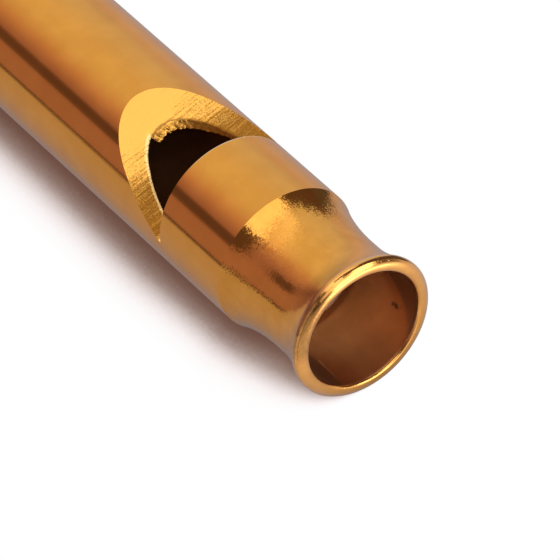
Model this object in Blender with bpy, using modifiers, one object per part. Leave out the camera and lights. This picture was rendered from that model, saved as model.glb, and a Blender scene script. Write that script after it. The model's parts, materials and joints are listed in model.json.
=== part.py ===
# Survival whistle: a gold anodised aluminium pipe with a notch window, a windway plug, a tail plug
# with a drilled lug, and a split ring.
# The pipe lies along X with its mouth towards +X and its window facing +Z. The origin is on the
# line that the pipe rests on, under the middle of the pipe.

from math import asin, atan2, cos, hypot, pi, radians, sin, tan

import bmesh
import bpy
from mathutils import Vector
from mathutils.geometry import interpolate_bezier

MM = 0.001
FACETS = 32
GAP = 0.3 * MM  # clearance kept between neighbouring pieces

# Pipe
TUBE_LENGTH = 38.5 * MM
TUBE_RADIUS = 4.0 * MM
BORE_RADIUS = 3.1 * MM
TAIL_CHAMFER = 0.2 * MM

# Mouth: distances are measured back from the lip's front
NECK_LENGTH = 6.7 * MM  # to the sharp edge where the turned neck starts
NECK_SLOPE = radians(22)
NECK_PULL = 0.75 * MM
WAIST_BACK = 3.25 * MM
WAIST_FRONT = 2.7 * MM
WAIST_PULL = 1.6 * MM
WAIST_RADIUS = 3.41 * MM
FLARE_SLOPE = radians(24)
FLARE_PULL = 0.7 * MM
LIP_RADIUS = 3.95 * MM
LIP_ROUND = 0.4 * MM
MOUTH_LENGTH = 2.0 * MM  # the bore widens from here to the lip
MOUTH_RADIUS = 3.2 * MM
MOUTH_ROUND = 0.12 * MM

# Window: a square face on the mouth side and a slope that rises towards the tail
WINDOW_BACK = 11.75 * MM  # square face, behind the lip's front
WINDOW_FLOOR = 1.18 * MM  # the notch's root, above the axis
WINDOW_SLOPE = radians(25.4)
WINDOW_TOP = 6.0 * MM

# Windway plug
PLUG_FRONT_BACK = 4.9 * MM
PLUG_CHAMFER = 0.3 * MM
WINDWAY_FLOOR = 1.9 * MM  # the plug's flat, above the axis

# Tail plug and its lug
SPIGOT_LENGTH = 5.0 * MM
FLANGE_THICKNESS = 1.0 * MM
LUG_RADIUS = 2.6 * MM
LUG_LENGTH = 5.5 * MM
LUG_THICKNESS = 2.6 * MM
LUG_COLLAR = 0.8 * MM
EYE_RADIUS = 1.4 * MM

# Split ring: flat wire, wound close to two turns
RING_RADIUS = 6.95 * MM
WIRE_WIDTH = 1.1 * MM
WIRE_THICKNESS = 0.75 * MM
COIL_PITCH = 1.2 * MM
COIL_TURN = radians(680)
COIL_STEP_START = radians(318)
COIL_STEP_END = radians(354)
COIL_START = radians(75)  # first wire end, counted from the eye
COIL_POINTS = 86
RING_LIFT = 0.02 * MM  # the ring's far edge above the surface

# Places that follow from the dimensions
FRONT_X = TUBE_LENGTH / 2
TAIL_X = -TUBE_LENGTH / 2
WINDOW_X = FRONT_X - WINDOW_BACK
FLANGE_X = TAIL_X - GAP - FLANGE_THICKNESS
LUG_END_X = FLANGE_X - LUG_LENGTH
EYE_X = LUG_END_X + LUG_RADIUS
AXIS_Z = TUBE_RADIUS * cos(pi / FACETS)
PLUG_RADIUS = BORE_RADIUS - GAP


def clear_scene():
    for obj in list(bpy.data.objects):
        bpy.data.objects.remove(obj, do_unlink=True)


def new_collection(name):
    collection = bpy.data.collections.new(name)
    bpy.context.scene.collection.children.link(collection)
    return collection


def metal(name, colour, roughness):
    material = bpy.data.materials.new(name)
    material.use_nodes = True
    shader = material.node_tree.nodes["Principled BSDF"]
    shader.inputs["Base Color"].default_value = (*colour, 1.0)
    shader.inputs["Metallic"].default_value = 1.0
    shader.inputs["Roughness"].default_value = roughness
    return material


def arc(centre, radius, start_deg, end_deg, steps):
    # points (radius from the axis, station along it) of a round stretch of a profile
    points = []
    for i in range(steps + 1):
        angle = radians(start_deg + (end_deg - start_deg) * i / steps)
        points.append((centre[0] + radius * cos(angle), centre[1] + radius * sin(angle)))
    return points


def turned(name, profile, closed, material):
    # the profile's points are (radius, station along X), from the mouth side down the outside
    count = len(profile)
    edges = [(i, i + 1) for i in range(count - 1)]
    if closed:
        edges.append((count - 1, 0))
    mesh = bpy.data.meshes.new(name)
    mesh.from_pydata([(r, 0.0, x) for r, x in profile], edges, [])
    obj = bpy.data.objects.new(name, mesh)
    parts.objects.link(obj)
    obj.data.materials.append(material)
    screw = obj.modifiers.new("Turn", "SCREW")
    screw.steps = FACETS
    screw.render_steps = FACETS
    screw.use_merge_vertices = True
    screw.merge_threshold = 0.000001
    screw.use_smooth_shade = True
    obj.location = (0.0, 0.0, AXIS_Z)
    obj.rotation_mode = "ZYX"
    obj.rotation_euler = (0.0, pi / 2, pi / FACETS)  # a flat facet lies underneath
    return obj


def as_cutter(obj):
    for collection in list(obj.users_collection):
        collection.objects.unlink(obj)
    cutters.objects.link(obj)
    obj.hide_render = True
    obj.display_type = "WIRE"
    return obj


def box_cutter(name, low, high):
    low, high = Vector(low), Vector(high)
    bpy.ops.mesh.primitive_cube_add(size=1.0, location=(low + high) / 2)
    obj = bpy.context.object
    obj.name = name
    obj.scale = high - low
    return as_cutter(obj)


def wedge_cutter(name, outline, width):
    # an outline of (x, z) points, filled and extruded across Y
    curve = bpy.data.curves.new(name, "CURVE")
    curve.dimensions = "2D"
    curve.fill_mode = "BOTH"
    curve.extrude = width / 2
    spline = curve.splines.new("POLY")
    spline.points.add(len(outline) - 1)
    for point, (x, z) in zip(spline.points, outline):
        point.co = (x, z, 0.0, 1.0)
    spline.use_cyclic_u = True
    guide = bpy.data.objects.new(name, curve)
    cutters.objects.link(guide)
    guide.rotation_euler = (pi / 2, 0.0, 0.0)
    bpy.context.view_layer.update()
    evaluated = guide.evaluated_get(bpy.context.evaluated_depsgraph_get())
    mesh = bpy.data.meshes.new_from_object(evaluated)
    work = bmesh.new()
    work.from_mesh(mesh)
    bmesh.ops.remove_doubles(work, verts=work.verts, dist=0.000001)
    bmesh.ops.recalc_face_normals(work, faces=work.faces)
    work.to_mesh(mesh)
    work.free()
    obj = bpy.data.objects.new(name, mesh)
    cutters.objects.link(obj)
    obj.matrix_world = guide.matrix_world.copy()
    bpy.data.objects.remove(guide, do_unlink=True)
    return as_cutter(obj)


def cut(obj, cutter):
    boolean = obj.modifiers.new("Cut " + cutter.name, "BOOLEAN")
    boolean.operation = "DIFFERENCE"
    boolean.solver = "EXACT"
    boolean.object = cutter


def neck_profile(lip_back):
    # from the back of the lip, along the waist, to the sharp edge on the tube
    lip = Vector((*lip_back, 0.0))
    waist_front = Vector((WAIST_RADIUS, FRONT_X - WAIST_FRONT, 0.0))
    waist_back = Vector((WAIST_RADIUS, FRONT_X - WAIST_BACK, 0.0))
    edge = Vector((TUBE_RADIUS, FRONT_X - NECK_LENGTH, 0.0))
    lip_handle = lip - Vector((sin(FLARE_SLOPE), cos(FLARE_SLOPE), 0.0)) * FLARE_PULL
    edge_handle = edge + Vector((-sin(NECK_SLOPE), cos(NECK_SLOPE), 0.0)) * NECK_PULL
    front_handle = waist_front + Vector((0.0, FLARE_PULL, 0.0))
    back_handle = waist_back - Vector((0.0, WAIST_PULL, 0.0))
    flare = interpolate_bezier(lip, lip_handle, front_handle, waist_front, 6)
    cove = interpolate_bezier(waist_back, back_handle, edge_handle, edge, 8)
    return [(p.x, p.y) for p in flare[1:] + cove]


def body_tube():
    inner = (MOUTH_RADIUS + MOUTH_ROUND, FRONT_X - MOUTH_ROUND)
    outer = (LIP_RADIUS - LIP_ROUND, FRONT_X - LIP_ROUND)
    profile = [(BORE_RADIUS, FRONT_X - MOUTH_LENGTH)]
    profile += arc(inner, MOUTH_ROUND, 180, 90, 2)
    profile += arc(outer, LIP_ROUND, 90, -38, 6)
    profile += neck_profile(profile[-1])
    profile += [
        (TUBE_RADIUS, TAIL_X + TAIL_CHAMFER),
        (TUBE_RADIUS - TAIL_CHAMFER, TAIL_X),
        (BORE_RADIUS, TAIL_X),
    ]
    tube = turned("body_tube", profile, True, metal("tube_gold", (0.78, 0.40, 0.09), 0.28))
    rise = WINDOW_TOP - WINDOW_FLOOR
    outline = [
        (WINDOW_X, AXIS_Z + WINDOW_FLOOR),
        (WINDOW_X, AXIS_Z + WINDOW_TOP),
        (WINDOW_X - rise / tan(WINDOW_SLOPE), AXIS_Z + WINDOW_TOP),
    ]
    cut(tube, wedge_cutter("window_cutter", outline, 3 * TUBE_RADIUS))


def windway_plug():
    front_x = FRONT_X - PLUG_FRONT_BACK
    profile = [
        (0.0, front_x),
        (PLUG_RADIUS - PLUG_CHAMFER, front_x),
        (PLUG_RADIUS, front_x - PLUG_CHAMFER),
        (PLUG_RADIUS, WINDOW_X),
        (0.0, WINDOW_X),
    ]
    plug = turned("windway_plug", profile, False, metal("plug_gold", (0.62, 0.33, 0.09), 0.35))
    low = (WINDOW_X - MM, -TUBE_RADIUS, AXIS_Z + WINDWAY_FLOOR)
    high = (front_x + MM, TUBE_RADIUS, AXIS_Z + TUBE_RADIUS)
    cut(plug, box_cutter("windway_cutter", low, high))


def tail_plug():
    flange_front = TAIL_X - GAP
    profile = [
        (0.0, TAIL_X + SPIGOT_LENGTH),
        (PLUG_RADIUS - PLUG_CHAMFER, TAIL_X + SPIGOT_LENGTH),
        (PLUG_RADIUS, TAIL_X + SPIGOT_LENGTH - PLUG_CHAMFER),
        (PLUG_RADIUS, flange_front),
        (TUBE_RADIUS - TAIL_CHAMFER, flange_front),
        (TUBE_RADIUS, flange_front - TAIL_CHAMFER),
        (TUBE_RADIUS, FLANGE_X + TAIL_CHAMFER),
        (TUBE_RADIUS - TAIL_CHAMFER, FLANGE_X),
        (LUG_RADIUS, FLANGE_X),
    ]
    profile += arc((0.0, EYE_X), LUG_RADIUS, 0, -90, 8)
    plug = turned("tail_plug", profile, False, metal("tail_gold", (0.78, 0.40, 0.09), 0.28))
    for side, name in ((-1, "right_cheek_cutter"), (1, "left_cheek_cutter")):
        near, far = sorted((side * LUG_THICKNESS / 2, side * TUBE_RADIUS))
        low = (LUG_END_X - MM, near, AXIS_Z - TUBE_RADIUS)
        high = (FLANGE_X - LUG_COLLAR, far, AXIS_Z + TUBE_RADIUS)
        cut(plug, box_cutter(name, low, high))
    bpy.ops.mesh.primitive_cylinder_add(
        vertices=24,
        radius=EYE_RADIUS,
        depth=3 * LUG_RADIUS,
        location=(EYE_X, 0.0, AXIS_Z),
        rotation=(pi / 2, 0.0, 0.0),
    )
    drill = bpy.context.object
    drill.name = "eye_cutter"
    cut(plug, as_cutter(drill))


def coil_height(turn):
    # the wire lies in the lower layer, steps over, and goes on in the upper layer
    share = (turn - COIL_STEP_START) / (COIL_STEP_END - COIL_STEP_START)
    share = min(1.0, max(0.0, share))
    return COIL_PITCH * (share * share * (3 - 2 * share) - 0.5)


def ring_droop():
    # the tilt at which the ring's lower far edge meets the surface
    reach = 2 * RING_RADIUS + WIRE_WIDTH / 2
    half = (COIL_PITCH + WIRE_THICKNESS) / 2
    return asin((AXIS_Z - RING_LIFT) / hypot(reach, half)) - atan2(half, reach)


def split_ring():
    pivot = bpy.data.objects.new("ring_pivot", None)
    parts.objects.link(pivot)
    pivot.location = (EYE_X, 0.0, AXIS_Z)
    pivot.rotation_euler = (0.0, -ring_droop(), 0.0)

    section = bpy.data.curves.new("wire_section", "CURVE")
    section.dimensions = "2D"
    corners = section.splines.new("POLY")
    corners.points.add(3)
    for point, (u, v) in zip(corners.points, ((-1, -1), (-1, 1), (1, 1), (1, -1))):
        point.co = (u * WIRE_WIDTH / 2, v * WIRE_THICKNESS / 2, 0.0, 1.0)
    corners.use_cyclic_u = True
    guide = bpy.data.objects.new("wire_section", section)
    cutters.objects.link(guide)
    as_cutter(guide)

    wire = bpy.data.curves.new("split_ring", "CURVE")
    wire.dimensions = "3D"
    wire.twist_mode = "Z_UP"
    wire.bevel_mode = "OBJECT"
    wire.bevel_object = guide
    wire.use_fill_caps = True
    spline = wire.splines.new("POLY")
    spline.points.add(COIL_POINTS - 1)
    turns = [COIL_TURN * i / (COIL_POINTS - 1) for i in range(COIL_POINTS)]
    path = []
    for turn in turns:
        angle = COIL_START + turn
        x = -RING_RADIUS + RING_RADIUS * cos(angle)
        path.append(Vector((x, RING_RADIUS * sin(angle), coil_height(turn))))
    for point, place in zip(spline.points, path):
        point.co = (*place, 1.0)
    ring = bpy.data.objects.new("split_ring", wire)
    parts.objects.link(ring)
    ring.parent = pivot
    wire.materials.append(metal("ring_nickel", (0.62, 0.61, 0.58), 0.22))

    gaps = []
    for i, turn in enumerate(turns):
        later = [path[j] for j in range(i + 1, COIL_POINTS) if turns[j] - turn > pi]
        gaps += [(path[i] - place).length - WIRE_THICKNESS for place in later]
    print("split_ring: least gap to itself, mm:", round(min(gaps) / MM, 3))


clear_scene()
parts = new_collection("survival_whistle")
cutters = new_collection("cutters")
body_tube()
windway_plug()
tail_plug()
split_ring()
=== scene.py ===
import json
import math
import bmesh
import bpy
from mathutils import Matrix, Vector, noise


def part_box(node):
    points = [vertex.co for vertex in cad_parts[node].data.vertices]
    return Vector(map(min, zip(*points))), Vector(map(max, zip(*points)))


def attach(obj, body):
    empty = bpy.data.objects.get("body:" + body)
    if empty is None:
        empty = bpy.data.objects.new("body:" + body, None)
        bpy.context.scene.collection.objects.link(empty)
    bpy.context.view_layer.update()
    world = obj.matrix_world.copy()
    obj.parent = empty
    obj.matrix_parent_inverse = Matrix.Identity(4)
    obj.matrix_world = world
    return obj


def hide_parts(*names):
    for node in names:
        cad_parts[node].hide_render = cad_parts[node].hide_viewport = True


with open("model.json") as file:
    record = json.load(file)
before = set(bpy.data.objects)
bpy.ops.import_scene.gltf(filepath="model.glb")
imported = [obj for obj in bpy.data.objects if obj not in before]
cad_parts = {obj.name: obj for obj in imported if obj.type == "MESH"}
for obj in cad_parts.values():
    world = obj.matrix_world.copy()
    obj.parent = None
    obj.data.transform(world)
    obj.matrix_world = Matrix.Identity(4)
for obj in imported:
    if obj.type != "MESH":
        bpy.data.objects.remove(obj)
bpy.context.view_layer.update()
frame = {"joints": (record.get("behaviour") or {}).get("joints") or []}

mm = 0.001
tubeLow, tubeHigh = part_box("body_tube")
axisZ = (tubeLow.z + tubeHigh.z) / 2
tubeRadius = (tubeHigh.z - tubeLow.z) / 2
lipFront = tubeHigh.x
tubeTail = tubeLow.x
plugLow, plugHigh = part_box("windway_plug")
windowX = plugLow.x  # square face of the window
boreRadius = 3.1 * mm
weld = 0.002 * mm  # points closer than this are merged
slack = 0.001 * mm  # for places that are compared


# ways of working

def clearSelection():
    if bpy.context.object and bpy.context.object.mode != "OBJECT":
        bpy.ops.object.mode_set(mode="OBJECT")
    bpy.ops.object.select_all(action="DESELECT")


def makeActive(piece):
    clearSelection()
    piece.select_set(True)
    bpy.context.view_layer.objects.active = piece


def startPoint(name, place):
    clearSelection()
    bpy.ops.mesh.primitive_plane_add(size=mm, location=place)
    piece = bpy.context.object
    piece.name = name
    piece.data.name = name
    bpy.ops.object.transform_apply(location=True, rotation=True, scale=True)
    bpy.ops.object.mode_set(mode="EDIT")
    bpy.ops.mesh.select_all(action="SELECT")
    bpy.ops.mesh.merge(type="CENTER")
    return piece


def drawProfile(name, profile, closed):
    # profile holds (radius, x), drawn above the axis by pulling one point along it
    places = [Vector((x, 0.0, axisZ + radius)) for radius, x in profile]
    if closed:
        places.append(places[0])
    piece = startPoint(name, places[0])
    for here, there in zip(places, places[1:]):
        bpy.ops.mesh.extrude_region_move(TRANSFORM_OT_translate={"value": there - here})
    return piece


def faceOutwards():
    # starts in edit mode and leaves it
    bpy.ops.mesh.select_all(action="SELECT")
    bpy.ops.mesh.normals_make_consistent(inside=False)
    bpy.ops.object.mode_set(mode="OBJECT")


def closeSkin():
    bpy.ops.mesh.select_all(action="SELECT")
    bpy.ops.mesh.remove_doubles(threshold=weld)
    faceOutwards()


def turnProfile(steps):
    bpy.ops.mesh.select_all(action="SELECT")
    bpy.ops.mesh.spin(steps=steps, angle=2 * math.pi, center=(0.0, 0.0, axisZ),
                      axis=(1.0, 0.0, 0.0), use_auto_merge=False)
    closeSkin()


def arcPoints(centre, radius, startDeg, endDeg, count):
    points = []
    for i in range(count + 1):
        angle = math.radians(startDeg + (endDeg - startDeg) * i / count)
        points.append((centre[0] + radius * math.cos(angle), centre[1] + radius * math.sin(angle)))
    return points


def bezierPoints(start, startHandle, endHandle, end, count):
    points = []
    for i in range(count + 1):
        t = i / count
        s = 1 - t
        weights = (s * s * s, 3 * s * s * t, 3 * s * t * t, t * t * t)
        corners = (start, startHandle, endHandle, end)
        points.append(tuple(sum(w * c[k] for w, c in zip(weights, corners)) for k in (0, 1)))
    return points


def applyBoolean(piece, other, operation, solver):
    makeActive(piece)
    shaping = piece.modifiers.new("shaping", "BOOLEAN")
    shaping.operation = operation
    shaping.solver = solver
    shaping.object = other
    bpy.ops.object.modifier_apply(modifier="shaping")
    bpy.data.objects.remove(other, do_unlink=True)


def boxCutter(low, high):
    clearSelection()
    low, high = Vector(low), Vector(high)
    bpy.ops.mesh.primitive_cube_add(size=1.0, location=(low + high) / 2, scale=high - low)
    bpy.ops.object.transform_apply(location=True, rotation=True, scale=True)
    return bpy.context.object


def roundEdges(piece, width, segments, angleDeg):
    makeActive(piece)
    rounding = piece.modifiers.new("rounding", "BEVEL")
    rounding.width = width
    rounding.segments = segments
    rounding.limit_method = "ANGLE"
    rounding.angle_limit = math.radians(angleDeg)
    rounding.use_clamp_overlap = True
    bpy.ops.object.modifier_apply(modifier="rounding")


def finishPiece(piece, body, node, smoothDeg=30):
    makeActive(piece)
    bpy.ops.object.shade_smooth_by_angle(angle=math.radians(smoothDeg))
    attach(piece, body)
    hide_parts(node)
    print(piece.name, "has", len(piece.data.polygons), "faces")


# node helpers

def newMaterial(name):
    material = bpy.data.materials.new(name)
    material.use_nodes = True
    tree = material.node_tree
    return material, tree, tree.nodes["Principled BSDF"]


def newMetal(name):
    material, tree, shader = newMaterial(name)
    shader.inputs["Metallic"].default_value = 1.0
    return material, tree, shader


def addNode(tree, kind, **settings):
    node = tree.nodes.new(kind)
    for key, value in settings.items():
        if hasattr(node, key):
            setattr(node, key, value)
        else:
            node.inputs[key].default_value = value
    return node


def patternCoords(tree, stretch):
    # Object coordinates, squeezed along each axis
    coords = addNode(tree, "ShaderNodeTexCoord")
    mapping = addNode(tree, "ShaderNodeMapping", Scale=stretch)
    tree.links.new(coords.outputs["Object"], mapping.inputs["Vector"])
    return mapping.outputs["Vector"]


def noisePattern(tree, grainSize, stretch=(1.0, 1.0, 1.0), detail=3.0, rough=0.55):
    pattern = addNode(tree, "ShaderNodeTexNoise", Scale=1.0 / grainSize, Detail=detail, Roughness=rough)
    tree.links.new(patternCoords(tree, stretch), pattern.inputs["Vector"])
    return pattern.outputs["Fac"]


def toneRamp(tree, source, stops):
    # stops hold (position, colour)
    ramp = addNode(tree, "ShaderNodeValToRGB")
    elements = ramp.color_ramp.elements
    while len(elements) < len(stops):
        elements.new(1.0)
    for element, (position, tone) in zip(elements, stops):
        element.position = position
        element.color = (*tone, 1.0)
    tree.links.new(source, ramp.inputs["Fac"])
    return ramp.outputs["Color"]


def mottled(tree, grainSize, look):
    return toneRamp(tree, noisePattern(tree, grainSize), ((0.35, look["deep"]), (0.65, look["pale"])))


def mixTint(tree, share, under, over, blend="MIX"):
    # under and over are sockets or plain colours
    mix = addNode(tree, "ShaderNodeMix", data_type="RGBA", blend_type=blend)
    tree.links.new(share, mix.inputs[0])
    for socket, tint in ((mix.inputs[6], under), (mix.inputs[7], over)):
        if isinstance(tint, tuple):
            socket.default_value = (*tint, 1.0)
        else:
            tree.links.new(tint, socket)
    return mix.outputs[2]


def rangeOf(tree, source, low, high, fromLow=0.0, fromHigh=1.0):
    spread = addNode(tree, "ShaderNodeMapRange")
    spread.inputs["From Min"].default_value = fromLow
    spread.inputs["From Max"].default_value = fromHigh
    spread.inputs["To Min"].default_value = low
    spread.inputs["To Max"].default_value = high
    tree.links.new(source, spread.inputs["Value"])
    return spread.outputs["Result"]


def softStep(tree, source, start, end):
    step = addNode(tree, "ShaderNodeMapRange", interpolation_type="SMOOTHSTEP")
    step.inputs["From Min"].default_value = start
    step.inputs["From Max"].default_value = end
    tree.links.new(source, step.inputs["Value"])
    return step.outputs["Result"]


def mathNode(tree, operation, first, second=0.0):
    node = addNode(tree, "ShaderNodeMath", operation=operation)
    for socket, value in zip(node.inputs, (first, second)):
        if isinstance(value, (int, float)):
            socket.default_value = value
        else:
            tree.links.new(value, socket)
    return node.outputs[0]


def times(tree, first, *others):
    for other in others:
        first = mathNode(tree, "MULTIPLY", first, other)
    return first


def plus(tree, first, *others):
    for other in others:
        first = mathNode(tree, "ADD", first, other)
    return first


def objectAxes(tree):
    coords = addNode(tree, "ShaderNodeTexCoord")
    apart = addNode(tree, "ShaderNodeSeparateXYZ")
    tree.links.new(coords.outputs["Object"], apart.inputs[0])
    return apart.outputs


def distanceFrom(tree, place, scale):
    # length from a place, with each axis weighed on its own
    coords = addNode(tree, "ShaderNodeTexCoord")
    mapping = addNode(tree, "ShaderNodeMapping", Scale=scale)
    mapping.inputs["Location"].default_value = [-p * w for p, w in zip(place, scale)]
    tree.links.new(coords.outputs["Object"], mapping.inputs["Vector"])
    length = addNode(tree, "ShaderNodeVectorMath", operation="LENGTH")
    tree.links.new(mapping.outputs["Vector"], length.inputs[0])
    return length.outputs["Value"]


def bumpChain(tree, shader, layers):
    # each layer is (height source, strength, depth)
    normal = None
    for height, strength, depth in layers:
        bump = addNode(tree, "ShaderNodeBump", Strength=strength, Distance=depth)
        tree.links.new(height, bump.inputs["Height"])
        if normal:
            tree.links.new(normal, bump.inputs["Normal"])
        normal = bump.outputs["Normal"]
    tree.links.new(normal, shader.inputs["Normal"])
    return normal


def leanGrains(tree, shader, normal, grainSize, lean):
    # every small grain of the surface leans its own way, by as much as the lean socket says
    grains = addNode(tree, "ShaderNodeTexVoronoi", Scale=1.0 / grainSize)
    tree.links.new(patternCoords(tree, (1.0, 1.0, 1.0)), grains.inputs["Vector"])
    level = addNode(tree, "ShaderNodeVectorMath", operation="SUBTRACT")
    tree.links.new(grains.outputs["Color"], level.inputs[0])
    level.inputs[1].default_value = (0.5, 0.5, 0.5)
    scaled = addNode(tree, "ShaderNodeVectorMath", operation="SCALE")
    tree.links.new(level.outputs[0], scaled.inputs[0])
    tree.links.new(lean, scaled.inputs["Scale"])
    leaning = addNode(tree, "ShaderNodeVectorMath", operation="ADD")
    tree.links.new(scaled.outputs[0], leaning.inputs[0])
    tree.links.new(normal, leaning.inputs[1])
    unit = addNode(tree, "ShaderNodeVectorMath", operation="NORMALIZE")
    tree.links.new(leaning.outputs[0], unit.inputs[0])
    tree.links.new(unit.outputs[0], shader.inputs["Normal"])


def layerShaders(tree, surface, layers):
    # each layer is (share, shader on top)
    for share, shown in layers:
        mix = addNode(tree, "ShaderNodeMixShader")
        tree.links.new(share, mix.inputs["Fac"])
        tree.links.new(surface, mix.inputs[1])
        tree.links.new(shown.outputs[0], mix.inputs[2])
        surface = mix.outputs[0]
    return surface


# finishes, where a pair of places is where something starts and where it is full

def satinGold():
    # drawn and anodised tube: faint lines along the pipe, a soft mottle, a painted highlight along the
    # window's square edge
    look = {
        "deep": (0.87, 0.38, 0.064),
        "pale": (0.93, 0.42, 0.074),
        "edgeHighlight": (1.0, 0.74, 0.42),
        "rough": (0.10, 0.15),
        "mottleSize": 1.6 * mm,
        "lineSize": 0.09 * mm,
        "grainSize": 0.05 * mm,
        "highlightFront": (windowX + 0.08 * mm, windowX + 0.05 * mm),
        "highlightBack": (windowX - 0.02 * mm, windowX),
        "highlightFoot": (axisZ + 1.2 * mm, axisZ + 2.0 * mm),
        "highlightSide": (-1.4 * mm, 0.6 * mm),
        "highlightFuzz": 0.06 * mm,
        "fuzzSize": 0.2 * mm,
    }
    material, tree, shader = newMetal("satinGold")
    x, y, z = objectAxes(tree)
    # painted highlight: a thin pale line along the top of the window's square edge
    fuzzyX = plus(tree, x, times(tree, noisePattern(tree, look["fuzzSize"]), look["highlightFuzz"]))
    edgeHighlight = times(tree, softStep(tree, fuzzyX, *look["highlightFront"]), softStep(tree, x, *look["highlightBack"]),
                 softStep(tree, z, *look["highlightFoot"]), softStep(tree, y, *look["highlightSide"]))
    tint = mixTint(tree, edgeHighlight, mottled(tree, look["mottleSize"], look), look["edgeHighlight"])
    tree.links.new(tint, shader.inputs["Base Color"])
    drawn = noisePattern(tree, look["lineSize"], stretch=(0.02, 1.0, 1.0))
    tree.links.new(rangeOf(tree, drawn, *look["rough"]), shader.inputs["Roughness"])
    grain = noisePattern(tree, look["grainSize"])
    bumpChain(tree, shader, [(drawn, 0.05, 0.01 * mm), (grain, 0.06, 0.01 * mm)])
    return material


def turnedGold():
    # neck: a fine grain that breaks up every reflection's edge, less so near the lip
    look = {
        "deep": (0.86, 0.38, 0.062),
        "pale": (0.94, 0.43, 0.076),
        "rough": (0.10, 0.15),
        "mottleSize": 0.8 * mm,
        "grainSize": 0.09 * mm,
        "ringSize": 0.06 * mm,
        "leanSize": 0.068 * mm,
        "lean": (0.08, 0.03),
        "leanFade": (14.0 * mm, 15.6 * mm),
    }
    material, tree, shader = newMetal("turnedGold")
    tree.links.new(mottled(tree, look["mottleSize"], look), shader.inputs["Base Color"])
    grain = noisePattern(tree, look["grainSize"], detail=1.0)
    tree.links.new(rangeOf(tree, grain, *look["rough"]), shader.inputs["Roughness"])
    rings = noisePattern(tree, look["ringSize"], stretch=(1.0, 0.03, 0.03))
    normal = bumpChain(tree, shader, [(grain, 0.15, 0.02 * mm), (rings, 0.06, 0.01 * mm)])
    x = objectAxes(tree)["X"]
    lean = rangeOf(tree, x, *look["lean"], *look["leanFade"])
    leanGrains(tree, shader, normal, look["leanSize"], lean)
    return material


def lipGold():
    # lip: smoother than the neck, with a few nicks, and painted shade high on the left
    look = {
        "deep": (0.89, 0.41, 0.066),
        "pale": (0.96, 0.46, 0.080),
        "paintedShade": (0.52, 0.24, 0.036),
        "rough": (0.14, 0.21),
        "coat": 1.0,
        "coatRough": 0.14,
        "mottleSize": 0.6 * mm,
        "grainSize": 0.14 * mm,
        "speckSize": 0.16 * mm,
        "nickSize": 0.30 * mm,
        "shadeSide": (-0.3 * mm, -1.2 * mm),
        "shadeFoot": (axisZ + 0.8 * mm, axisZ + 1.6 * mm),
    }
    material, tree, shader = newMetal("lipGold")
    y, z = objectAxes(tree)[1:]
    specks = softStep(tree, noisePattern(tree, look["speckSize"], detail=4.0), 0.42, 0.64)
    # painted shade: the lip is darker high on its left, broken up by specks
    paintedShade = times(tree, softStep(tree, y, *look["shadeSide"]), softStep(tree, z, *look["shadeFoot"]),
                   rangeOf(tree, specks, 0.7, 1.0))
    tint = mixTint(tree, paintedShade, mottled(tree, look["mottleSize"], look), look["paintedShade"])
    tree.links.new(tint, shader.inputs["Base Color"])
    grain = noisePattern(tree, look["grainSize"])
    tree.links.new(rangeOf(tree, grain, *look["rough"]), shader.inputs["Roughness"])
    shader.inputs["Coat Weight"].default_value = look["coat"]
    shader.inputs["Coat Roughness"].default_value = look["coatRough"]
    nicks = softStep(tree, noisePattern(tree, look["nickSize"], detail=4.0, rough=0.65), 0.62, 0.72)
    bumpChain(tree, shader, [(grain, 0.12, 0.02 * mm), (nicks, 0.35, -0.02 * mm)])
    return material


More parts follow.
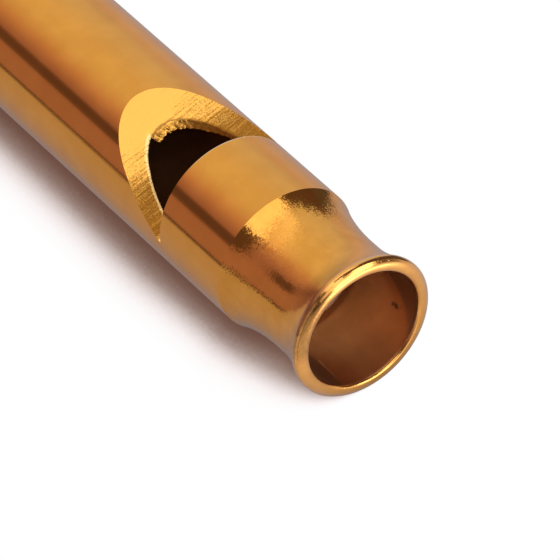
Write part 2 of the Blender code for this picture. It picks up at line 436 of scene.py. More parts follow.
def milledGold():
    # the window's slope: cutter marks run across it and get rougher and darker towards its foot, with a
    # painted highlight along its left inner edge and at its tip
    look = {
        "bright": (0.92, 0.465, 0.089),
        "torn": (0.44, 0.185, 0.024),
        "edgeHighlight": (1.0, 0.68, 0.27),
        "rough": (0.17, 0.44),
        "streakSize": 0.11 * mm,
        "grainSize": 0.085 * mm,
        "foot": (1.8 * mm, 6.2 * mm),
        "tipHighlight": (7.10 * mm, 7.32 * mm),
        "rightArm": (0.3 * mm, 1.8 * mm),
        "leftFoot": (4.7 * mm, 5.4 * mm),
        "leftArm": (-0.5 * mm, -1.5 * mm),
        "burrSide": (-0.75 * mm, -0.60 * mm),
        "burrEdge": (3.36 * mm, 3.25 * mm),
        "burrFuzz": 0.30 * mm,
        "highlightEdge": (3.29 * mm, 3.23 * mm),
        "highlightFuzz": 0.12 * mm,
        "tornShades": (0.76, 1.10),
    }
    material, tree, shader = newMetal("milledGold")
    x, y = objectAxes(tree)[:2]
    streak = noisePattern(tree, look["streakSize"], stretch=(1.0, 0.045, 0.6))
    grain = noisePattern(tree, look["grainSize"], rough=0.6)
    radius = distanceFrom(tree, (0.0, 0.0, axisZ), (0.0, 1.0, 1.0))
    onRight = softStep(tree, y, *look["burrSide"])
    fuzzyBurr = plus(tree, radius, times(tree, grain, look["burrFuzz"]))
    burrBand = times(tree, softStep(tree, fuzzyBurr, *look["burrEdge"]), onRight)
    leftFoot = times(tree, softStep(tree, x, *look["leftFoot"]), softStep(tree, y, *look["leftArm"]))
    weighed = (
        (streak, 0.6),
        (grain, 0.6),
        (softStep(tree, x, *look["foot"]), 0.38),
        (softStep(tree, y, *look["rightArm"]), 0.06),
        (leftFoot, 0.09),
        (burrBand, 0.14),
        # painted highlight: the tip is made lighter
        (softStep(tree, x, *look["tipHighlight"]), -0.5),
    )
    shade = plus(tree, *[times(tree, source, weight) for source, weight in weighed])
    torn = softStep(tree, shade, *look["tornShades"])
    face = toneRamp(tree, torn, ((0.0, look["bright"]), (1.0, look["torn"])))
    # painted highlight: a pale line along the slope's left inner edge
    fuzzyEdge = plus(tree, radius, times(tree, grain, look["highlightFuzz"]))
    edgeHighlight = times(tree, softStep(tree, fuzzyEdge, *look["highlightEdge"]), mathNode(tree, "SUBTRACT", 1.0, onRight))
    tree.links.new(mixTint(tree, edgeHighlight, face, look["edgeHighlight"]), shader.inputs["Base Color"])
    tree.links.new(rangeOf(tree, torn, *look["rough"]), shader.inputs["Roughness"])
    relief = rangeOf(tree, torn, 0.4, 1.0)
    bumpChain(tree, shader, [(times(tree, streak, relief), 0.32, 0.02 * mm),
                             (times(tree, grain, relief), 0.32, 0.02 * mm)])
    return material


def boreGold():
    # inside: drawn lines along the pipe, dusty behind the plug, painted shade deep inside that lightens
    # towards the lip, darker wedges on both sides of the mouth, a small scar on the right and a scratch on
    # the left
    look = {
        "deep": (0.40, 0.180, 0.068),
        "pale": (0.90, 0.455, 0.195),
        "scar": (0.22, 0.13, 0.07),
        "wedgeTint": (0.60, 0.74, 1.0),
        "scratch": (1.0, 0.72, 0.50),
        "rough": (0.32, 0.42),
        "metal": (0.4, 1.0),
        "dustEnd": (9 * mm, 14 * mm),
        "shadeFades": (15.2 * mm, 18.6 * mm),
        "mottleSize": 1.1 * mm,
        "lineSize": 0.12 * mm,
        "scarPlace": (17.65 * mm, 2.42 * mm, 2.0 * mm),
        "scarEdge": (0.32 * mm, 0.48 * mm),
        "scarFuzz": 0.5 * mm,
        "fuzzSize": 0.25 * mm,
        "rightWedge": (20.15 * mm, 20.65 * mm),  # along x + z
        "rightSide": (1.2 * mm, 2.2 * mm),
        "leftWedge": (15.5 * mm, 17 * mm),
        "leftSide": (-2.05 * mm, -2.35 * mm),
        "scratchSide": 2.13 * mm,
        "scratchEdge": (0.05 * mm, 0.025 * mm),
        "scratchTop": (axisZ, axisZ - 0.3 * mm),
        "scratchMiddle": 17.7 * mm,
        "scratchEnds": (0.9 * mm, 0.5 * mm),
    }
    material, tree, shader = newMaterial("boreGold")
    x, y, z = objectAxes(tree)
    tree.links.new(rangeOf(tree, x, *look["metal"], *look["dustEnd"]), shader.inputs["Metallic"])
    # painted shade: the wall's tone is darker deep inside and lighter towards the lip
    mottle = plus(tree, times(tree, noisePattern(tree, look["mottleSize"]), 0.3),
                  rangeOf(tree, x, 0.0, 0.7, *look["shadeFades"]))
    wall = toneRamp(tree, mottle, ((0.15, look["deep"]), (0.85, look["pale"])))
    scar = plus(tree, distanceFrom(tree, look["scarPlace"], (0.55, 1.0, 1.0)),
                times(tree, noisePattern(tree, look["fuzzSize"]), look["scarFuzz"]))
    tint = mixTint(tree, softStep(tree, scar, *look["scarEdge"]), look["scar"], wall)
    # both sides of the mouth are tinted darker in wedges
    onRight = times(tree, softStep(tree, plus(tree, x, z), *look["rightWedge"]),
                    softStep(tree, y, *look["rightSide"]))
    onLeft = times(tree, softStep(tree, x, *look["leftWedge"]), softStep(tree, y, *look["leftSide"]))
    tint = mixTint(tree, mathNode(tree, "MAXIMUM", onRight, onLeft), tint, look["wedgeTint"], "MULTIPLY")
    aside = mathNode(tree, "ABSOLUTE", plus(tree, y, look["scratchSide"]))
    along = distanceFrom(tree, (look["scratchMiddle"], 0.0, 0.0), (1.0, 0.0, 0.0))
    scratch = times(tree, softStep(tree, aside, *look["scratchEdge"]), softStep(tree, z, *look["scratchTop"]),
                    softStep(tree, along, *look["scratchEnds"]))
    tree.links.new(mixTint(tree, scratch, tint, look["scratch"]), shader.inputs["Base Color"])
    drawn = noisePattern(tree, look["lineSize"], stretch=(0.03, 1.0, 1.0))
    tree.links.new(rangeOf(tree, drawn, *look["rough"]), shader.inputs["Roughness"])
    bumpChain(tree, shader, [(drawn, 0.08, 0.01 * mm)])
    return material


def plugGold():
    # the plug's sawn and dulled metal
    look = {
        "deep": (0.82, 0.70, 0.56),
        "pale": (0.92, 0.80, 0.66),
        "rough": (0.40, 0.55),
        "mottleSize": 0.5 * mm,
        "sawSize": 0.12 * mm,
    }
    material, tree, shader = newMetal("plugGold")
    tree.links.new(mottled(tree, look["mottleSize"], look), shader.inputs["Base Color"])
    sawn = noisePattern(tree, look["sawSize"], stretch=(1.0, 0.06, 1.0))
    tree.links.new(rangeOf(tree, sawn, *look["rough"]), shader.inputs["Roughness"])
    bumpChain(tree, shader, [(sawn, 0.2, 0.02 * mm)])
    return material


def brightNickel():
    # plated wire, rubbed unevenly
    look = {
        "deep": (0.50, 0.49, 0.46),
        "pale": (0.66, 0.65, 0.62),
        "rough": (0.12, 0.26),
        "mottleSize": 0.9 * mm,
        "rubSize": 0.2 * mm,
        "grainSize": 0.06 * mm,
    }
    material, tree, shader = newMetal("brightNickel")
    tree.links.new(mottled(tree, look["mottleSize"], look), shader.inputs["Base Color"])
    rub = noisePattern(tree, look["rubSize"], detail=4.0)
    tree.links.new(rangeOf(tree, rub, *look["rough"]), shader.inputs["Roughness"])
    bumpChain(tree, shader, [(noisePattern(tree, look["grainSize"]), 0.08, 0.01 * mm)])
    return material


# pipe with its turned mouth and notch window

pipe = {
    "steps": 224,
    "neckLength": 6.7 * mm,
    "neckSlope": math.radians(22),
    "neckPull": 0.75 * mm,
    "waistBack": 3.25 * mm,
    "waistFront": 2.7 * mm,
    "waistPull": 1.6 * mm,
    "waistRadius": 3.41 * mm,
    "flareSlope": math.radians(24),
    "flarePull": 0.7 * mm,
    "rimBack": 0.40 * mm,
    "rimRadius": 3.95 * mm,
    "rimRound": 0.36 * mm,
    "rimArc": (18, -38),
    "rimStep": (0.02 * mm, 0.03 * mm),
    "crownRadius": 3.46 * mm,
    "crownPull": 0.22 * mm,
    "creasePlace": (3.87 * mm, 0.20 * mm),  # radius, and behind the lip's front
    "creasePull": (0.09 * mm, 0.07 * mm),
    "creaseDepth": 0.035 * mm,
    "creaseSpan": (-80, 12),  # degrees from the top
    "creaseFades": (12, 30),
    "creaseReach": 0.055 * mm,  # no point of the fold is pressed in further
    "lipLength": 0.65 * mm,
    "mouthLength": 2.0 * mm,
    "mouthRadius": 3.20 * mm,
    "mouthEdge": 0.36 * mm,
    "tailChamfer": 0.2 * mm,
    "windowFloor": 1.18 * mm,
    "windowSlope": math.radians(25.4),
    "windowLength": 7 * mm,
    "slopeSag": 0.06 * mm,
    "sagEnd": 0.8,
    "footStart": 4.9 * mm,
    "footDrop": 0.085,
    "slopeCells": (160, 180),
    "cutterRun": 8.2 * mm,
    "cutterWidth": 9.6 * mm,
    "cutterHeight": 9 * mm,
    "edgeSoft": 0.05 * mm,
    "edgeSink": 0.02 * mm,
    "chipSize": 0.13 * mm,
    "chipDepth": 0.02 * mm,
    "burrRoot": 0.05 * mm,
    "burrHang": 0.02 * mm,
    "burrReach": 0.20 * mm,
    "burrDrop": 0.17 * mm,
    "burrLift": 0.25 * mm,
    "burrDepth": 0.22 * mm,
    "burrRagged": 0.15,
    "burrAngles": (math.radians(-13), math.radians(66)),
    "burrSteps": 150,
    "smoothDeg": 28,
}


def pipeProfile():
    # from the bore round the lip, then back along the outside
    p = pipe
    mouth, edge = p["mouthRadius"], p["mouthEdge"]
    crown = (p["crownRadius"], lipFront)
    crease = (p["creasePlace"][0], lipFront - p["creasePlace"][1])
    creaseHandle = (crease[0] - p["creasePull"][0], crease[1] + p["creasePull"][1])
    profile = [(boreRadius, tubeTail), (boreRadius, lipFront - p["mouthLength"])]
    profile += bezierPoints((mouth, lipFront - edge), (mouth, lipFront - 0.4 * edge),
                            (crown[0] - 0.6 * edge, lipFront), crown, 12)
    profile += bezierPoints(crown, (crown[0] + p["crownPull"], lipFront), creaseHandle, crease, 14)[1:]
    rimCentre = (p["rimRadius"] - p["rimRound"], lipFront - p["rimBack"])
    profile += arcPoints(rimCentre, p["rimRound"], *p["rimArc"], 12)
    lipBack = (profile[-1][0] - p["rimStep"][0], profile[-1][1] - p["rimStep"][1])
    waistFront = (p["waistRadius"], lipFront - p["waistFront"])
    waistBack = (p["waistRadius"], lipFront - p["waistBack"])
    corner = (tubeRadius, lipFront - p["neckLength"])
    lipHandle = (lipBack[0] - p["flarePull"] * math.sin(p["flareSlope"]),
                 lipBack[1] - p["flarePull"] * math.cos(p["flareSlope"]))
    cornerHandle = (corner[0] - p["neckPull"] * math.sin(p["neckSlope"]),
                    corner[1] + p["neckPull"] * math.cos(p["neckSlope"]))
    frontHandle = (waistFront[0], waistFront[1] + p["flarePull"])
    backHandle = (waistBack[0], waistBack[1] - p["waistPull"])
    profile += bezierPoints(lipBack, lipHandle, frontHandle, waistFront, 16)
    profile += bezierPoints(waistBack, backHandle, cornerHandle, corner, 20)
    profile += [
        (tubeRadius, tubeTail + p["tailChamfer"]),
        (tubeRadius - p["tailChamfer"], tubeTail),
    ]
    return profile


def atCrease(place):
    radius = math.hypot(place.y, place.z - axisZ)
    return math.hypot(radius - pipe["creasePlace"][0], place.x - lipFront + pipe["creasePlace"][1])


def markLip(piece):
    # a fold in the lip that shows on one side only
    p = pipe
    start, end = p["creaseSpan"]
    fadeIn, fadeOut = p["creaseFades"]
    for vert in piece.data.vertices:
        y, z = vert.co.y, vert.co.z - axisZ
        radius, spin = math.hypot(y, z), math.degrees(math.atan2(y, z))
        if atCrease(vert.co) > 0.01 * mm or not start < spin < end:
            continue
        share = min(1.0, (spin - start) / fadeIn, (end - spin) / fadeOut)
        depth = p["creaseDepth"] * share * (1.0 + 0.5 * noise.noise(Vector((spin / 4, 0.0, 0.0))))
        # in along the diagonal, backwards and towards the axis
        vert.co.x -= 0.7 * depth
        vert.co.y -= 0.7 * depth * y / radius
        vert.co.z -= 0.7 * depth * z / radius


def slopeNormal():
    return Vector((math.sin(pipe["windowSlope"]), 0.0, math.cos(pipe["windowSlope"])))


def slopeSink(place):
    # how far the slope sinks below its plane: a rounded edge on the left, a hanging burr on the right
    p = pipe
    y, z = place.y, place.z - axisZ
    radius = math.hypot(y, z)
    chips = noise.noise(place / p["chipSize"])
    if math.atan2(y, z) < p["burrAngles"][0]:
        soft = min(1.0, max(0.0, (boreRadius + p["edgeSoft"] - radius) / p["edgeSoft"]))
        return p["edgeSink"] * soft ** 1.5
    hang = min(1.5, max(0.0, (boreRadius + p["burrHang"] - radius) / p["burrReach"]))
    ragged = 1.0 + p["burrRagged"] * chips
    return p["burrDrop"] * hang * ragged + p["chipDepth"] * chips * min(1.0, 6 * hang)


def burrCorners(spin, taper):
    # the strip's four corners at one angle round the bore, from above the slope to below it
    p = pipe
    ragged = noise.noise(Vector((spin * 9.0, 0.0, 0.0)))
    root = boreRadius + p["burrRoot"]
    end = boreRadius - p["burrReach"] * taper * (1.0 + p["burrRagged"] * ragged)
    up, down = p["burrLift"], -p["burrDepth"]
    corners = []
    for radius, lift in ((root, up), (end, up), (end, down), (root, down)):
        rise = radius * math.cos(spin)
        x = windowX - (rise - p["windowFloor"]) / math.tan(p["windowSlope"])
        corners.append(Vector((x, radius * math.sin(spin), axisZ + rise)) + slopeNormal() * lift)
    return corners


def addBurr(piece):
    # one face is drawn out round the bore, under the slope's edge, thin at both ends
    p = pipe
    clearSelection()
    bpy.ops.mesh.primitive_plane_add(size=mm)
    burr = bpy.context.object
    bpy.ops.object.mode_set(mode="EDIT")
    start, end = p["burrAngles"]
    for i in range(p["burrSteps"] + 1):
        share = i / p["burrSteps"]
        if i > 0:
            bpy.ops.mesh.extrude_region_move()
        taper = min(1.0, 0.3 + 16 * share, 0.12 + 9 * (1 - share))
        shape = bmesh.from_edit_mesh(burr.data)
        face = next(f for f in shape.faces if f.select)
        for vert, corner in zip(face.verts, burrCorners(start + (end - start) * share, taper)):
            vert.co = corner
        bmesh.update_edit_mesh(burr.data)
    faceOutwards()
    applyBoolean(piece, burr, "UNION", "MANIFOLD")


def windowCutter():
    # a grid bent to the slope, pulled up into a block
    p = pipe
    rise = p["cutterRun"] * math.tan(p["windowSlope"])
    normal = slopeNormal()
    clearSelection()
    bpy.ops.mesh.primitive_grid_add(x_subdivisions=p["slopeCells"][0], y_subdivisions=p["slopeCells"][1],
                                    size=1.0, location=(0.0, 0.0, 0.0))
    cutter = bpy.context.object
    for vert in cutter.data.vertices:
        share, y = 0.5 - vert.co.x, vert.co.y * p["cutterWidth"]
        place = Vector((windowX - share * p["cutterRun"], y, axisZ + p["windowFloor"] + share * rise))
        sink = slopeSink(place) + 4 * p["slopeSag"] * share * (p["sagEnd"] - share)
        sink += p["footDrop"] * max(0.0, place.x - p["footStart"])
        place -= normal * sink
        if share < 0.001:
            place.x = windowX
        vert.co = place
    bpy.ops.object.mode_set(mode="EDIT")
    bpy.ops.mesh.select_all(action="SELECT")
    bpy.ops.mesh.extrude_region_move(TRANSFORM_OT_translate={"value": (0.0, 0.0, p["cutterHeight"])})
    faceOutwards()
    return cutter


def paintPipe(piece, finishes):
    # finishes: 0 tube, 1 neck, 2 slope, 3 bore, 4 lip
    p = pipe
    piece.data.materials.clear()
    for finish in finishes:
        piece.data.materials.append(finish)
    for face in piece.data.polygons:
        centre = face.center
        radius = math.hypot(centre.y, centre.z - axisZ)
        # 1 on the tube's outside, -1 in its bore
        outward = Vector((0.0, centre.y, centre.z - axisZ)).normalized().dot(face.normal)
        inWindow = windowX - p["windowLength"] < centre.x < windowX - slack and centre.z > axisZ
        if inWindow and -0.9 < outward < 0.985:
            face.material_index = 2
        elif radius < boreRadius + slack or outward < -0.9:
            face.material_index = 3
        elif centre.x > lipFront - p["lipLength"]:
            face.material_index = 4
        elif centre.x > lipFront - p["neckLength"]:
            face.material_index = 1
    # a crisp edge along the fold and wherever one finish meets another
    shape = bmesh.new()
    shape.from_mesh(piece.data)
    for edge in shape.edges:
        onCrease = all(atCrease(vert.co) < p["creaseReach"] for vert in edge.verts)
        if onCrease or len({face.material_index for face in edge.link_faces}) > 1:
            edge.smooth = False
    shape.to_mesh(piece.data)
    shape.free()


def buildPipe(finishes):
    piece = drawProfile("pipe", pipeProfile(), True)
    turnProfile(pipe["steps"])
    markLip(piece)
    addBurr(piece)
    applyBoolean(piece, windowCutter(), "DIFFERENCE", "MANIFOLD")
    paintPipe(piece, finishes)
    finishPiece(piece, "whistle", "body_tube", pipe["smoothDeg"])


# windway plug

plug = {
    "steps": 128,
    "chamfer": 0.25 * mm,
    "ease": 0.02 * mm,
    "flat": 1.9 * mm,
    "edgeRound": 0.06 * mm,
    "edgeSegments": 2,
    "edgeDeg": 50,  # blunter edges aren't rounded
}


def buildPlug(finish):
    p = plug
    radius = boreRadius - p["ease"]
    front, back = plugHigh.x, plugLow.x + p["ease"]
    profile = [(0.0, back), (radius, back), (radius, front - p["chamfer"]),
               (radius - p["chamfer"], front), (0.0, front)]
    piece = drawProfile("windwayPlug", profile, False)
    turnProfile(p["steps"])
    makeActive(piece)
    bpy.ops.object.mode_set(mode="EDIT")
    bpy.ops.mesh.select_all(action="SELECT")
    bpy.ops.mesh.bisect(plane_co=(0.0, 0.0, axisZ + p["flat"]), plane_no=(0.0, 0.0, 1.0),
                        use_fill=True, clear_outer=True)
    bpy.ops.object.mode_set(mode="OBJECT")
    roundEdges(piece, p["edgeRound"], p["edgeSegments"], p["edgeDeg"])
    piece.data.validate()  # a strip beside each edge of the flat is there twice
    bpy.ops.object.mode_set(mode="EDIT")
    faceOutwards()
    piece.data.materials.append(finish)
    finishPiece(piece, "whistle", "windway_plug")


# tail plug with its drilled lug

tailLow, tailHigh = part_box("tail_plug")
eyePlace = Vector(frame["joints"][0]["pos_m"])

tail = {
    "steps": 144,
    "spigotEase": 0.02 * mm,
    "flangeGap": 0.03 * mm,
    "flange": 1.27 * mm,
    "flangeRound": 0.22 * mm,
    "lugRadius": 2.6 * mm,
    "lugThickness": 2.6 * mm,
    "collar": 0.8 * mm,
    "eyeRadius": 1.4 * mm,
    "eyeSides": 72,
}


def buildTail(finish):
    p = tail
    spigot = boreRadius - p["spigotEase"]
    flangeFront = tubeTail - p["flangeGap"]
    flangeBack = flangeFront - p["flange"]
    r = p["flangeRound"]
    profile = [(0.0, tailHigh.x), (spigot - r, tailHigh.x), (spigot, tailHigh.x - r), (spigot, flangeFront)]
    profile += arcPoints((tubeRadius - r, flangeFront - r), r, 90, 0, 5)
    profile += arcPoints((tubeRadius - r, flangeBack + r), r, 0, -90, 5)
    profile += arcPoints((p["lugRadius"] + r, flangeBack - r), r, 90, 180, 4)
    profile += arcPoints((0.0, eyePlace.x), p["lugRadius"], 0, -90, 24)
    piece = drawProfile("tailPlug", profile, False)
    turnProfile(p["steps"])
    # the lug's two flats, then its eye
    for side in (-1, 1):
        near, far = sorted((side * p["lugThickness"] / 2, side * 2 * tubeRadius))
        low = (tailLow.x - mm, near, axisZ - 2 * tubeRadius)
        high = (flangeBack - p["collar"], far, axisZ + 2 * tubeRadius)
        applyBoolean(piece, boxCutter(low, high), "DIFFERENCE", "EXACT")
    clearSelection()
    bpy.ops.mesh.primitive_cylinder_add(vertices=p["eyeSides"], radius=p["eyeRadius"],
                                        depth=4 * p["lugRadius"], location=eyePlace,
                                        rotation=(math.pi / 2, 0.0, 0.0))
    bpy.ops.object.transform_apply(location=True, rotation=True, scale=True)
    applyBoolean(piece, bpy.context.object, "DIFFERENCE", "EXACT")
    # cutting leaves slivers, which are merged
    makeActive(piece)
    bpy.ops.object.mode_set(mode="EDIT")
    closeSkin()
    piece.data.materials.append(finish)
    finishPiece(piece, "whistle", "tail_plug")


# split ring

ring = {
    "radius": 6.95 * mm,
    "wireWidth": 1.1 * mm,
    "wireThickness": 0.94 * mm,
    "wireRound": 0.24 * mm,
    "pitch": 1.0 * mm,
    "turnDeg": 679,
    "stepDeg": (316, 353),
    "startDeg": 75,
    "points": 340,
    "restGap": 0.02 * mm,
    "smoothDeg": 40,
}


def ringHeight(turnDeg):
    # lower layer, a step across, then the upper layer
    start, end = ring["stepDeg"]
    share = min(1.0, max(0.0, (turnDeg - start) / (end - start)))
    return ring["pitch"] * (share * share * (3 - 2 * share) - 0.5)


def ringTilt():
    # the far edge comes to rest on the surface
    reach = 2 * ring["radius"] + ring["wireWidth"] / 2
    half = (ring["pitch"] + ring["wireThickness"]) / 2
    return math.asin((eyePlace.z - ring["restGap"]) / math.hypot(reach, half)) - math.atan2(half, reach)


def wireOutline():
    w, t, r = ring["wireWidth"] / 2, ring["wireThickness"] / 2, ring["wireRound"]
    outline = arcPoints((w - r, t - r), r, 90, 0, 5) + arcPoints((w - r, r - t), r, 0, -90, 5)
    return outline + arcPoints((r - w, r - t), r, -90, -180, 5) + arcPoints((r - w, t - r), r, 180, 90, 5)


def buildRing(finish):
    # the wire's outline is drawn along two turns, then made a mesh
    p = ring
    section = bpy.data.curves.new("wireSection", "CURVE")
    section.dimensions = "2D"
    outline = wireOutline()
    corners = section.splines.new("POLY")
    corners.points.add(len(outline) - 1)
    for point, (u, v) in zip(corners.points, outline):
        point.co = (u, v, 0.0, 1.0)
    corners.use_cyclic_u = True
    sectionGuide = bpy.data.objects.new("wireSection", section)
    bpy.context.scene.collection.objects.link(sectionGuide)

    wire = bpy.data.curves.new("splitRing", "CURVE")
    wire.dimensions = "3D"
    wire.twist_mode = "Z_UP"
    wire.bevel_mode = "OBJECT"
    wire.bevel_object = sectionGuide
    wire.use_fill_caps = True
    coil = wire.splines.new("POLY")
    coil.points.add(p["points"] - 1)
    for i, point in enumerate(coil.points):
        turnDeg = p["turnDeg"] * i / (p["points"] - 1)
        angle = math.radians(p["startDeg"] + turnDeg)
        x = p["radius"] * (math.cos(angle) - 1.0)
        point.co = (x, p["radius"] * math.sin(angle), ringHeight(turnDeg), 1.0)
    piece = bpy.data.objects.new("splitRing", wire)
    bpy.context.scene.collection.objects.link(piece)
    piece.matrix_world = Matrix.Translation(eyePlace) @ Matrix.Rotation(-ringTilt(), 4, "Y")
    makeActive(piece)
    bpy.ops.object.convert(target="MESH")
    bpy.ops.object.transform_apply(location=True, rotation=True, scale=True)
    bpy.data.objects.remove(sectionGuide, do_unlink=True)
    piece = bpy.context.object
    bpy.ops.object.mode_set(mode="EDIT")
    closeSkin()
    piece.data.materials.append(finish)
    finishPiece(piece, "ring", "split_ring", p["smoothDeg"])


# floor: white to the camera, with the contact shadow's tones, and in reflections a painted light of its own:
# brighter in front of the mouth, darker close to the pipe and at its far right end

floorLook = {
    "size": 3.0,
    "tint": (0.92, 0.91, 0.90),
    "shadowReach": 9 * mm,
    "shadowLean": (0.45, 0.70, 0.55),
    "shadowTones": (
        (0.32, (0.15, 0.07, 0.05)),
        (0.37, (0.22, 0.13, 0.10)),
        (0.405, (0.34, 0.24, 0.205)),
        (0.46, (0.80, 0.70, 0.68)),
        (0.50, (0.975, 0.915, 0.91)),
        (0.56, (1.0, 1.0, 1.0)),
    ),
    "mirrorTint": (1.0, 0.93, 1.0, 1.0),
    "inMetal": (0.50, 0.62),  # how bright it shows in a reflection, left and right
    "inMetalSides": (-20 * mm, 30 * mm),
    "frontGlow": 3.2,  # and how much more in front of the mouth
    "frontStart": (23 * mm, 45 * mm),
    "frontLeft": (-8 * mm, 4 * mm),
    "frontRight": (30 * mm, 16 * mm),
    "lipGlow": 0.28,  # a little more everywhere from the lip forwards
    "lipStart": (16 * mm, 24 * mm),
    "endTone": 0.16,  # the dark end on the far right
    "endStart": (12 * mm, 18 * mm),
    "endBack": (13 * mm, 18 * mm),  # along x + endLean * y
    "endLean": 0.558,
    "endFront": (-14 * mm, -6 * mm),  # along y - endTurn * x
    "endTurn": 1.2,
    "contactTone": 0.35,  # how dark it gets close to the pipe
    "contactReach": 14 * mm,
    "contactRange": (0.45, 0.95),
}


def mirroredFloor(tree):
    # how bright each place of the floor shows in the metal
    f = floorLook
    x, y = objectAxes(tree)[:2]
    front = times(tree, softStep(tree, x, *f["frontStart"]), softStep(tree, y, *f["frontLeft"]),
                  softStep(tree, y, *f["frontRight"]))
    bright = plus(tree, rangeOf(tree, y, *f["inMetal"], *f["inMetalSides"]),
                  times(tree, front, f["frontGlow"]),
                  times(tree, softStep(tree, x, *f["lipStart"]), f["lipGlow"]))
    endBack = softStep(tree, plus(tree, x, times(tree, y, f["endLean"])), *f["endBack"])
    endFront = softStep(tree, mathNode(tree, "SUBTRACT", y, times(tree, x, f["endTurn"])), *f["endFront"])
    endShare = times(tree, softStep(tree, y, *f["endStart"]), endBack, endFront)
    contact = addNode(tree, "ShaderNodeAmbientOcclusion", samples=4, Distance=f["contactReach"])
    contactTone = rangeOf(tree, contact.outputs["AO"], f["contactTone"], 1.0, *f["contactRange"])
    return times(tree, bright, rangeOf(tree, endShare, 1.0, f["endTone"]), contactTone)


def shadowTint(tree):
    f = floorLook
    shade = addNode(tree, "ShaderNodeAmbientOcclusion", samples=64, Distance=f["shadowReach"])
    lean = addNode(tree, "ShaderNodeCombineXYZ")
    for socket, part in zip(lean.inputs, f["shadowLean"]):
        socket.default_value = part
    tree.links.new(lean.outputs[0], shade.inputs["Normal"])
    return toneRamp(tree, shade.outputs["AO"], f["shadowTones"])


def buildFloor():
    f = floorLook
    clearSelection()
    bpy.ops.mesh.primitive_plane_add(size=f["size"], location=(0.0, 0.0, tubeLow.z))
    floor = bpy.context.object
    floor.name = "floor"
    material, tree, shader = newMaterial("paleFloor")
    tree.nodes.remove(shader)
    white = addNode(tree, "ShaderNodeEmission")
    tree.links.new(shadowTint(tree), white.inputs["Color"])
    mirrored = addNode(tree, "ShaderNodeEmission", Color=f["mirrorTint"])
    tree.links.new(mirroredFloor(tree), mirrored.inputs["Strength"])
    plain = addNode(tree, "ShaderNodeBsdfDiffuse", Color=(*f["tint"], 1.0))
    rays = addNode(tree, "ShaderNodeLightPath").outputs
    surface = layerShaders(tree, plain.outputs[0], (
        (rays["Is Glossy Ray"], mirrored),
        (rays["Is Transmission Ray"], white),
        (rays["Is Camera Ray"], white),
    ))
    tree.links.new(surface, tree.nodes["Material Output"].inputs["Surface"])
    floor.data.materials.append(material)
    print("floor laid")


# what stands around the pipe: long strips beside it, with dark lines between them

backdrop = {
    # from the left, over the top, to the right of the pipe
    "strips": (
        (-1.0, (0.37, 0.24, 0.31)),
        (-0.82, (0.37, 0.23, 0.31)),
        (-0.65, (0.33, 0.20, 0.29)),
        (-0.556, (0.37, 0.23, 0.35)),
        (-0.333, (0.57, 0.40, 0.46)),
        (-0.092, (0.68, 0.595, 0.594)),
        (0.158, (0.745, 0.73, 0.70)),
        (0.50, (0.775, 0.77, 0.77)),
        (0.917, (0.70, 0.74, 0.86)),
        (0.975, (0.675, 0.71, 0.82)),
        (1.0, (0.61, 0.63, 0.72)),
    ),
    "farFade": (-0.84, -0.99),  # dimmer straight behind the tail
    "farStrength": 0.66,
    "dim": (0.11, 0.075, 0.08),  # overhead and in front
    "steepFade": (4.5, 2.4),
    "heightFade": (0.72, 0.62),
    "frontFade": (0.04, -0.06),  # along x + frontLean * y - frontRise * z
    "frontLean": 0.558,
    "frontRise": 0.32,
    "dark": (0.06, 0.04, 0.05),
    "gapLeft": (-0.83, -0.795),
    "gapRight": (-0.61, -0.65),
    "gapFront": (-0.48, -0.62),
    "gapShare": (0.25, 0.82),
    "gapRange": (-0.85, -0.68),
    "sheetTilt": (0.246, 0.25),  # a pale sheet low on the left, with a dark seam along its top
    "seamEdge": (0.06, 0.045),
    "sheetEdge": (0.01, -0.01),
}


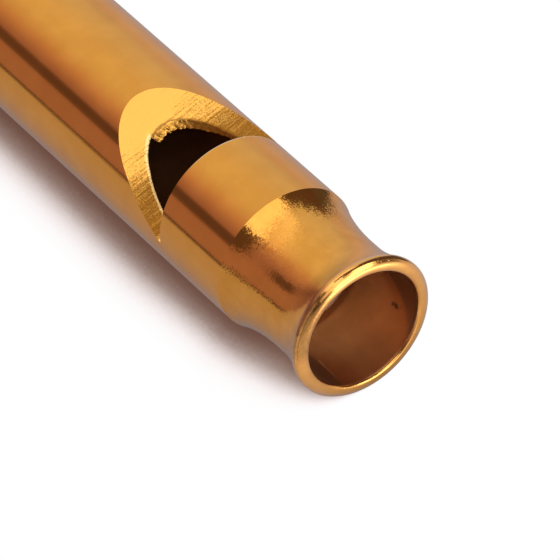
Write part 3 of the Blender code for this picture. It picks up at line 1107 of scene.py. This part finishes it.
def buildWorld():
    b = backdrop
    world = bpy.data.worlds.new("studioWorld")
    world.use_nodes = True
    tree = world.node_tree
    coords = addNode(tree, "ShaderNodeTexCoord")
    apart = addNode(tree, "ShaderNodeSeparateXYZ")
    tree.links.new(coords.outputs["Generated"], apart.inputs[0])
    x, y, z = apart.outputs
    # a least value keeps each division finite
    around = mathNode(tree, "SQRT", plus(tree, times(tree, y, y), times(tree, z, z)))
    sideways = mathNode(tree, "DIVIDE", y, mathNode(tree, "MAXIMUM", around, 0.01))
    strips = tree.nodes["Background"]
    stops = [((place + 1.0) / 2.0, tone) for place, tone in b["strips"]]
    tones = toneRamp(tree, rangeOf(tree, sideways, 0.0, 1.0, -1.0, 1.0), stops)
    tree.links.new(tones, strips.inputs["Color"])
    farShare = softStep(tree, x, *b["farFade"])
    tree.links.new(rangeOf(tree, farShare, 1.0, b["farStrength"]), strips.inputs["Strength"])
    # the strips end overhead and in front
    rise = mathNode(tree, "DIVIDE", z, mathNode(tree, "MAXIMUM", times(tree, x, -1.0), 0.05))
    low = mathNode(tree, "MAXIMUM", softStep(tree, rise, *b["steepFade"]),
                   softStep(tree, z, *b["heightFade"]))
    forward = mathNode(tree, "SUBTRACT", times(tree, y, b["frontLean"]), times(tree, z, b["frontRise"]))
    stripShare = times(tree, softStep(tree, plus(tree, x, forward), *b["frontFade"]), low)
    # a dark gap between two strips on the left
    gapShare = times(tree, softStep(tree, sideways, *b["gapLeft"]), softStep(tree, sideways, *b["gapRight"]),
                     softStep(tree, x, *b["gapFront"]), rangeOf(tree, x, *b["gapShare"], *b["gapRange"]))
    # the sheet ends at its top and at the middle
    tiltX, tiltY = b["sheetTilt"]
    sheetTop = mathNode(tree, "SUBTRACT", times(tree, x, tiltX), times(tree, y, tiltY))
    above = mathNode(tree, "MAXIMUM", mathNode(tree, "SUBTRACT", z, sheetTop), times(tree, y, 10.0))
    dim = addNode(tree, "ShaderNodeBackground", Color=(*b["dim"], 1.0))
    dark = addNode(tree, "ShaderNodeBackground", Color=(*b["dark"], 1.0))
    sheet = addNode(tree, "ShaderNodeBackground", Color=floorLook["mirrorTint"],
                    Strength=floorLook["inMetal"][0])
    surface = layerShaders(tree, dim.outputs[0], (
        (stripShare, strips),
        (gapShare, dark),
        (softStep(tree, above, *b["seamEdge"]), dark),
        (softStep(tree, above, *b["sheetEdge"]), sheet),
    ))
    tree.links.new(surface, tree.nodes["World Output"].inputs["Surface"])
    bpy.context.scene.world = world


# softboxes: three overhead that fade towards the tail, three in front that shine on the lip

mouthPlace = Vector((0.019, 0.0, 0.004))
overhead = {
    "keyBox": {"place": (0.006, 0.155, 0.55), "size": (0.272, 0.65), "radiance": 1.0},
    "keySpill": {"place": (-0.068, 0.168, 0.58), "size": (0.434, 0.676), "radiance": 0.24},
    "keyFade": {"place": (-0.136, 0.150, 0.61), "size": (0.57, 0.60), "radiance": 0.13},
}
inFront = {
    "frontBox": {"place": (0.53, 0.25, 0.19), "size": (0.50, 0.20), "radiance": 3.0},
    "lowBox": {"place": (0.588, 0.185, 0.051), "size": (0.485, 0.105), "radiance": 2.2},
    "highBox": {"place": (0.436, 0.01, 0.407), "size": (0.31, 0.355), "radiance": 1.3},
}


def softbox(name, settings, aim):
    lamp = bpy.data.lights.new(name, "AREA")
    lamp.shape = "RECTANGLE"
    lamp.size, lamp.size_y = settings["size"]
    lamp.energy = settings["radiance"] * math.pi * settings["size"][0] * settings["size"][1]
    lampObject = bpy.data.objects.new(name, lamp)
    bpy.context.scene.collection.objects.link(lampObject)
    lampObject.location = settings["place"]
    lampObject.rotation_euler = aim.to_track_quat("-Z", "Y").to_euler()


def buildLights():
    buildWorld()
    for name, settings in overhead.items():
        softbox(name, settings, Vector((0.0, 0.0, -1.0)))
    for name, settings in inFront.items():
        softbox(name, settings, mouthPlace - Vector(settings["place"]))
    print("lights set")


camera = {
    "aim": Vector((13.40, -0.98, 3.98)) * mm,
    "distance": 0.2674,
    "azimuth": 74.15,
    "elevation": 48.49,
    "roll": -27.17,
    "field": 5.829,
    "clipStart": 0.01,
}


def buildCamera():
    c = camera
    az, el = math.radians(c["azimuth"]), math.radians(c["elevation"])
    back = Vector((math.sin(az) * math.cos(el), -math.cos(az) * math.cos(el), math.sin(el)))
    right = Vector((math.cos(az), math.sin(az), 0.0))
    up = back.cross(right)
    turn = Matrix.Rotation(math.radians(c["roll"]), 3, back)
    right, up = turn @ right, turn @ up
    lens = bpy.data.cameras.new("photoCamera")
    lens.angle = math.radians(c["field"])
    lens.clip_start = c["clipStart"]
    body = bpy.data.objects.new("photoCamera", lens)
    bpy.context.scene.collection.objects.link(body)
    basis = Matrix((right, up, back)).transposed().to_4x4()
    body.matrix_world = Matrix.Translation(c["aim"] + back * c["distance"]) @ basis
    bpy.context.scene.camera = body
    print("camera set")


buildCamera()
tubeFinish = satinGold()
buildPipe([tubeFinish, turnedGold(), milledGold(), boreGold(), lipGold()])
buildPlug(plugGold())
buildTail(tubeFinish)
buildRing(brightNickel())
buildFloor()
buildLights()
bpy.context.scene.view_settings.view_transform = "Standard"
